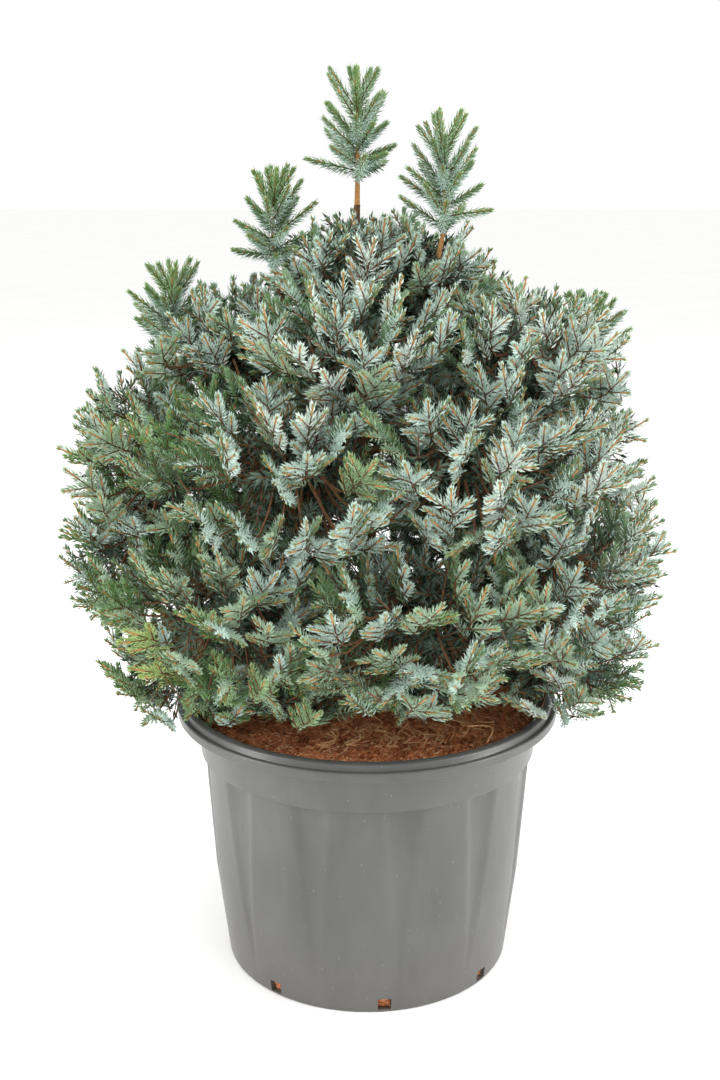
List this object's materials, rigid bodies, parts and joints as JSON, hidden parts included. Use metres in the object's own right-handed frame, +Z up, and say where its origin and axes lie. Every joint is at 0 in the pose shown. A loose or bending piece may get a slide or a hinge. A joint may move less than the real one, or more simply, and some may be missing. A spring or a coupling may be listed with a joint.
{
  "type": "potted dwarf serbian spruce",
  "caption": "Dense blue-green dwarf spruce with upright leaders on a short trunk, growing in a round black nursery pot with a rolled lip.",
  "frame": {"origin": "centre of the pot's flat underside, on the ground", "axes": "+Z up along the trunk, -Y towards the viewer of the plant's best side, +X to that viewer's right"},
  "size_m": [0.8365, 0.7735, 1.2265],
  "materials": {
    "pot": "moulded charcoal polypropylene, satin",
    "coir": "loose shredded coir over peat, matte",
    "bark": "thin scaly brown bark, matte",
    "needles": "waxy blue-green needles"
  },
  "bodies": {
    "root": {"bough_far_left_leader": "bark", "bough_far_right_leader": "bark", "bough_left_leader": "bark", "bough_low_1": "bark", "bough_low_2": "bark", "bough_low_3": "bark", "bough_low_4": "bark", "bough_low_5": "bark", "bough_low_6": "bark", "bough_low_7": "bark", "bough_middle_1": "bark", "bough_middle_2": "bark", "bough_middle_3": "bark", "bough_middle_4": "bark", "bough_middle_5": "bark", "bough_middle_6": "bark", "bough_right_leader": "bark", "bough_upper_1": "bark", "bough_upper_2": "bark", "bough_upper_3": "bark", "bough_upper_4": "bark", "bough_upper_5": "bark", "foliage_far_left_leader": "needles", "foliage_far_right_leader": "needles", "foliage_left_leader": "needles", "foliage_low_1": "needles", "foliage_low_2": "needles", "foliage_low_3": "needles", "foliage_low_4": "needles", "foliage_low_5": "needles", "foliage_low_6": "needles", "foliage_low_7": "needles", "foliage_middle_1": "needles", "foliage_middle_2": "needles", "foliage_middle_3": "needles", "foliage_middle_4": "needles", "foliage_middle_5": "needles", "foliage_middle_6": "needles", "foliage_right_leader": "needles", "foliage_shoulder_1": "needles", "foliage_shoulder_2": "needles", "foliage_shoulder_3": "needles", "foliage_skirt_1": "needles", "foliage_skirt_2": "needles", "foliage_skirt_3": "needles", "foliage_skirt_4": "needles", "foliage_skirt_5": "needles", "foliage_skirt_6": "needles", "foliage_top_leader": "needles", "foliage_upper_1": "needles", "foliage_upper_2": "needles", "foliage_upper_3": "needles", "foliage_upper_4": "needles", "foliage_upper_5": "needles", "pot": "pot", "root_ball": "coir", "trunk": "bark"}
  },
  "joints": []
}
